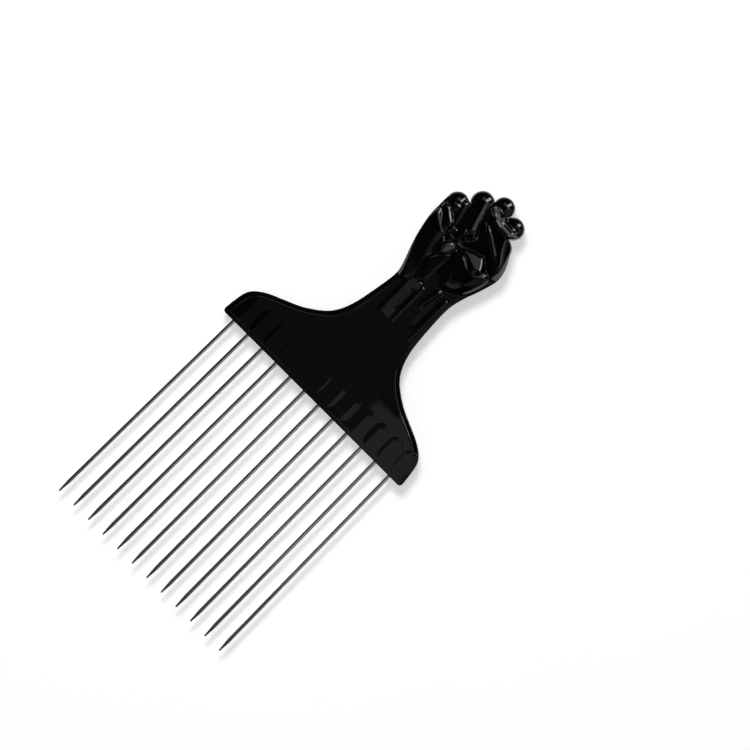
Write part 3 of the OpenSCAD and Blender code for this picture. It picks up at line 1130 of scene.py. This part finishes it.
@dataclass
class Shading:
    """Small helper that adds nodes to one material."""

    name: str

    def __post_init__(self) -> None:
        """Start the material with its shader and its object coordinates."""
        self.material = bpy.data.materials.new(self.name)
        self.material.use_nodes = True
        self.nodes = self.material.node_tree.nodes
        self.links = self.material.node_tree.links
        self.shader = self.nodes["Principled BSDF"]
        self.place = self.nodes.new("ShaderNodeTexCoord").outputs["Object"]

    def noise(self, grain: Grain) -> bpy.types.NodeSocket:
        """Add noise over the object.

        Args:
            grain: Scale, octaves and stretch of the noise.

        Returns:
            The socket that holds the noise.
        """
        mapping = self.nodes.new("ShaderNodeMapping")
        mapping.inputs["Scale"].default_value = grain.stretch
        self.links.new(self.place, mapping.inputs["Vector"])
        noise = self.nodes.new("ShaderNodeTexNoise")
        noise.inputs["Scale"].default_value = grain.scale
        noise.inputs["Detail"].default_value = grain.detail
        self.links.new(mapping.outputs[0], noise.inputs["Vector"])
        return noise.outputs["Fac"]

    def spread(self, value: bpy.types.NodeSocket, span: tuple[float, float],
               result: tuple[float, float]) -> bpy.types.NodeSocket:
        """Map the span of a value onto a range, held at its ends.

        Args:
            value: Socket that holds the value.
            span: Lowest and highest value.
            result: What these two become.

        Returns:
            The socket that holds the result.
        """
        node = self.nodes.new("ShaderNodeMapRange")
        for name, number in zip(("From Min", "From Max", "To Min", "To Max"), (*span, *result)):
            node.inputs[name].default_value = number
        self.links.new(value, node.inputs["Value"])
        return node.outputs["Result"]

    def bump(self, height: bpy.types.NodeSocket, depth: float,
             under: bpy.types.NodeSocket | None = None) -> bpy.types.NodeSocket:
        """Add a bump of a real depth.

        Args:
            height: Socket that holds the shares of the depth.
            depth: Depth in metres.
            under: Normal of another bump that this one lies on.

        Returns:
            The socket that holds the normal.
        """
        node = self.nodes.new("ShaderNodeBump")
        node.inputs["Distance"].default_value = depth
        self.links.new(height, node.inputs["Height"])
        if under is not None:
            self.links.new(under, node.inputs["Normal"])
        return node.outputs["Normal"]


@dataclass(frozen=True)
class PlasticFinish:
    """Glossy black moulded plastic, with the faint waves and peel of its mould."""

    colour: tuple[float, float, float] = (0.0012, 0.0012, 0.0020)
    roughness: tuple[float, float] = (0.05, 0.08)
    cloud: Grain = Grain(180.0, 4.0)
    cloud_span: tuple[float, float] = (0.35, 0.65)
    wave: Grain = Grain(45.0, 1.0)
    wave_depth: float = 6e-6
    peel: Grain = Grain(2600.0, 2.0)
    peel_depth: float = 1.8e-6

    def material(self) -> bpy.types.Material:
        """Build the material.

        Returns:
            The material, which reads Object coordinates.
        """
        shading = Shading("gloss_black_plastic")
        shader = shading.shader
        shader.inputs["Base Color"].default_value = (*self.colour, 1)
        cloud = shading.spread(shading.noise(self.cloud), self.cloud_span, self.roughness)
        shading.links.new(cloud, shader.inputs["Roughness"])
        waves = shading.bump(shading.noise(self.wave), self.wave_depth)
        peel = shading.bump(shading.noise(self.peel), self.peel_depth, waves)
        shading.links.new(peel, shader.inputs["Normal"])
        return shading.material


@dataclass(frozen=True)
class SteelFinish:
    """Bright drawn steel wire, with fine lines along its length."""

    colour: tuple[float, float, float] = (0.75, 0.75, 0.75)
    roughness: tuple[float, float] = (0.14, 0.24)
    lines: Grain = Grain(9000.0, 2.0, (1.0, 0.01, 1.0))
    line_span: tuple[float, float] = (0.3, 0.7)
    line_depth: float = 3e-6

    def material(self) -> bpy.types.Material:
        """Build the material.

        Returns:
            The material, which reads Object coordinates.
        """
        shading = Shading("drawn_steel")
        shader = shading.shader
        shader.inputs["Base Color"].default_value = (*self.colour, 1)
        shader.inputs["Metallic"].default_value = 1.0
        lines = shading.noise(self.lines)
        shading.links.new(shading.spread(lines, self.line_span, self.roughness), shader.inputs["Roughness"])
        shading.links.new(shading.bump(lines, self.line_depth), shader.inputs["Normal"])
        return shading.material


@dataclass(frozen=True)
class SoftBox:
    """A soft box that only reflections see, which faces the middle of the pick.

    Its place is a turn round the pick and a height over the floor, both in degrees. Its
    size is in metres.
    """

    name: str
    turn: float
    high: float
    size: tuple[float, float]
    watts: float


@dataclass(frozen=True)
class Card:
    """A dim level card that only reflections see, close over the pick.

    Its corners, the lower left and the upper right one, are in metres. Its light is its
    radiance, where the floor's white is about 1.
    """

    name: str
    low: tuple[float, float]
    high: tuple[float, float]
    light: float


SOFT_BOXES = (
    SoftBox("right_box", 8.0, 45.0, (0.9, 1.1), 0.5),
    SoftBox("middle_box", 57.0, 45.0, (0.9, 0.6), 1.7),
    SoftBox("top_box", 106.0, 45.0, (0.9, 0.6), 1.2),
    SoftBox("right_low", 20.0, 20.0, (1.2, 0.5), 0.4),
    SoftBox("tall_box", 75.0, 28.0, (0.42, 0.90), 8.3),
)
CARDS = (
    Card("ceiling", (-0.040, -0.150), (0.0167, 0.052), 0.065),
    Card("right_card", (0.01674, -0.060), (0.075, 0.0090), 0.33),
    Card("neck_card", (0.0167, 0.0112), (0.024, 0.052), 0.065),
    Card("wrist_card", (0.026, 0.0091), (0.040, 0.036), 0.28),
    Card("corner_card", (0.040, 0.0091), (0.062, 0.020), 0.30),
)


@dataclass
class Studio:
    """Floor, lamps and camera of the picture.

    The scale, the point looked at and the sensor are in millimetres, and the other
    lengths in metres. The matt light is what matt surfaces get from the surroundings. The
    tent marks are the levels of the surroundings in reflections, at shares of the way
    from straight down to straight up.
    """

    picture_px: int = 750
    mm_per_px: float = 0.3367
    look_at: tuple[float, float] = (9.53, 14.26)
    roll: float = 45.0
    distance: float = 2.0
    sensor_mm: float = 36.0
    floor_size: float = 6.0
    floor_glow: float = 0.48
    floor_colour: float = 0.80
    key_place: tuple[float, float, float] = (-0.37, 0.32, 1.04)
    key_size: tuple[float, float] = (0.30, 0.30)
    key_watts: float = 6.8
    box_distance: float = 1.34
    card_height: float = 0.109
    matt_light: float = 0.30
    tent_marks: tuple[tuple[float, float], ...] = ((0.50, 0.03), (0.60, 0.02), (0.92, 0.01))

    def build(self) -> None:
        """Build the floor, the surroundings, the lamps and the camera."""
        self.add_floor()
        self.add_surroundings()
        self.add_key()
        for box in SOFT_BOXES:
            self.add_box(box)
        for card in CARDS:
            self.add_card(card)
        self.add_camera()

    def add_floor(self) -> None:
        """White floor under the pick, which shows as plain white apart from its shadow."""
        bpy.ops.mesh.primitive_plane_add(size=self.floor_size)
        floor = bpy.context.object
        floor.name = "floor"
        material = bpy.data.materials.new("white_floor")
        material.use_nodes = True
        nodes, links = material.node_tree.nodes, material.node_tree.links
        nodes.clear()
        matt, glow = nodes.new("ShaderNodeBsdfDiffuse"), nodes.new("ShaderNodeEmission")
        both, out = nodes.new("ShaderNodeAddShader"), nodes.new("ShaderNodeOutputMaterial")
        matt.inputs["Color"].default_value = (self.floor_colour,) * 3 + (1,)
        links.new(self.seen(material.node_tree, self.floor_glow), glow.inputs["Strength"])
        links.new(matt.outputs[0], both.inputs[0])
        links.new(glow.outputs[0], both.inputs[1])
        links.new(both.outputs[0], out.inputs["Surface"])
        floor.data.materials.append(material)

    def seen(self, tree: bpy.types.NodeTree, strength: float) -> bpy.types.NodeSocket:
        """Limit a strength to the camera, reflections and what clear things show.

        Args:
            tree: Node tree to add to.
            strength: Strength that these rays see.

        Returns:
            The socket that holds the strength, or 0 for other rays.
        """
        path = tree.nodes.new("ShaderNodeLightPath")
        total = None
        for name in ("Is Camera Ray", "Is Glossy Ray", "Is Transmission Ray"):
            node = tree.nodes.new("ShaderNodeMath")
            node.operation = "MULTIPLY_ADD"
            node.use_clamp = True
            tree.links.new(path.outputs[name], node.inputs[0])
            node.inputs[1].default_value = strength
            node.inputs[2].default_value = 0.0
            if total is not None:
                tree.links.new(total, node.inputs[2])
            total = node.outputs[0]
        return total

    def add_surroundings(self) -> None:
        """White for the camera, even for diffuse light, and a dim tent in reflections."""
        world = bpy.data.worlds.new("studio")
        bpy.context.scene.world = world
        world.use_nodes = True
        nodes, links = world.node_tree.nodes, world.node_tree.links
        nodes.clear()
        place, path = nodes.new("ShaderNodeTexCoord"), nodes.new("ShaderNodeLightPath")
        lean, ramp = nodes.new("ShaderNodeVectorMath"), nodes.new("ShaderNodeValToRGB")
        plain, tent = nodes.new("ShaderNodeBackground"), nodes.new("ShaderNodeBackground")
        mix, out = nodes.new("ShaderNodeMixShader"), nodes.new("ShaderNodeOutputWorld")
        lean.operation = "DOT_PRODUCT"
        lean.inputs[1].default_value = (0.0, 0.0, 1.0)
        links.new(place.outputs["Generated"], lean.inputs[0])
        span = nodes.new("ShaderNodeMapRange")
        span.inputs["From Min"].default_value = -1.0
        links.new(lean.outputs["Value"], span.inputs["Value"])
        links.new(span.outputs[0], ramp.inputs[0])
        while len(ramp.color_ramp.elements) < len(self.tent_marks):
            ramp.color_ramp.elements.new(0.5)
        for element, (at, level) in zip(ramp.color_ramp.elements, self.tent_marks):
            element.position = at
            element.color = (level, level, level, 1)
        links.new(ramp.outputs[0], tent.inputs["Color"])
        camera = nodes.new("ShaderNodeMapRange")
        camera.inputs["To Min"].default_value = self.matt_light
        links.new(path.outputs["Is Camera Ray"], camera.inputs["Value"])
        links.new(camera.outputs[0], plain.inputs["Strength"])
        links.new(path.outputs["Is Glossy Ray"], mix.inputs[0])
        links.new(plain.outputs[0], mix.inputs[1])
        links.new(tent.outputs[0], mix.inputs[2])
        links.new(mix.outputs[0], out.inputs["Surface"])

    def area_lamp(self, name: str, place: tuple[float, float, float], size: tuple[float, float],
                  watts: float) -> bpy.types.Object:
        """Add one rectangular lamp, which shines straight down.

        Args:
            name: Name of the lamp.
            place: Place of the lamp in metres.
            size: Width and height in metres.
            watts: Power.

        Returns:
            The lamp.
        """
        data = bpy.data.lights.new(name, "AREA")
        data.shape = "RECTANGLE"
        data.size, data.size_y = size
        data.energy = watts
        lamp = link_object(name, data)
        lamp.location = place
        return lamp

    def face_middle(self, lamp: bpy.types.Object, place: tuple[float, float, float]) -> None:
        """Turn a lamp at a place towards the middle of the pick."""
        lamp.rotation_euler = Vector(place).to_track_quat("Z", "Y").to_euler()

    def add_key(self) -> None:
        """Add the lamp that makes the shadow, which reflections don't see."""
        lamp = self.area_lamp("key", self.key_place, self.key_size, self.key_watts)
        self.face_middle(lamp, self.key_place)
        lamp.visible_glossy = False

    def add_box(self, box: SoftBox) -> None:
        """Add one soft box at its turn and height.

        Args:
            box: Soft box to add.
        """
        turn, high = math.radians(box.turn), math.radians(box.high)
        level = self.box_distance * math.cos(high)
        place = (level * math.cos(turn), level * math.sin(turn), self.box_distance * math.sin(high))
        lamp = self.area_lamp(box.name, place, box.size, box.watts)
        self.face_middle(lamp, place)
        lamp.visible_diffuse = False

    def add_card(self, card: Card) -> None:
        """Add one card over the pick.

        Args:
            card: Card to add.
        """
        size = (card.high[0] - card.low[0], card.high[1] - card.low[1])
        place = ((card.low[0] + card.high[0]) / 2, (card.low[1] + card.high[1]) / 2, self.card_height)
        lamp = self.area_lamp(card.name, place, size, card.light * math.pi * size[0] * size[1])
        lamp.visible_camera = False
        lamp.visible_diffuse = False

    def add_camera(self) -> None:
        """Camera straight above, rolled so that the handle points to the upper right."""
        data = bpy.data.cameras.new("camera")
        data.sensor_width = self.sensor_mm
        width = self.picture_px * self.mm_per_px * MM
        data.lens = self.sensor_mm * self.distance / width
        camera = link_object("camera", data)
        camera.location = (self.look_at[0] * MM, self.look_at[1] * MM, self.distance)
        camera.rotation_euler = (0, 0, math.radians(self.roll))
        bpy.context.scene.camera = camera


def fit(piece: bpy.types.Object, slot: Slot, *nodes: str) -> None:
    """Make a piece ride on the pick in place of nodes of the frame, and report it.

    Args:
        piece: Piece to fit.
        slot: Material slot of the record; not used.
        nodes: Nodes of the frame that the piece replaces.
    """
    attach(piece, "root")
    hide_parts(*nodes)
    log.info("%s: %d faces", piece.name, len(piece.data.polygons))


def main() -> None:
    """Build the dressed pick and its studio, in order."""
    logging.basicConfig(level=logging.INFO, format="%(name)s: %(message)s")
    bpy.context.scene.view_settings.view_transform = "Standard"
    plastic = PlasticFinish().material()
    skin = Handle().build()
    skin.data.materials.append(plastic)
    fit(skin, Slot.HANDLE, "handle")
    fit(Bosses().build(plastic), Slot.HANDLE, "handle")
    fit(Pins().build(SteelFinish().material()), Slot.PINS, *PIN_NODES)
    Studio().build()


if __name__ == "__main__":
    main()
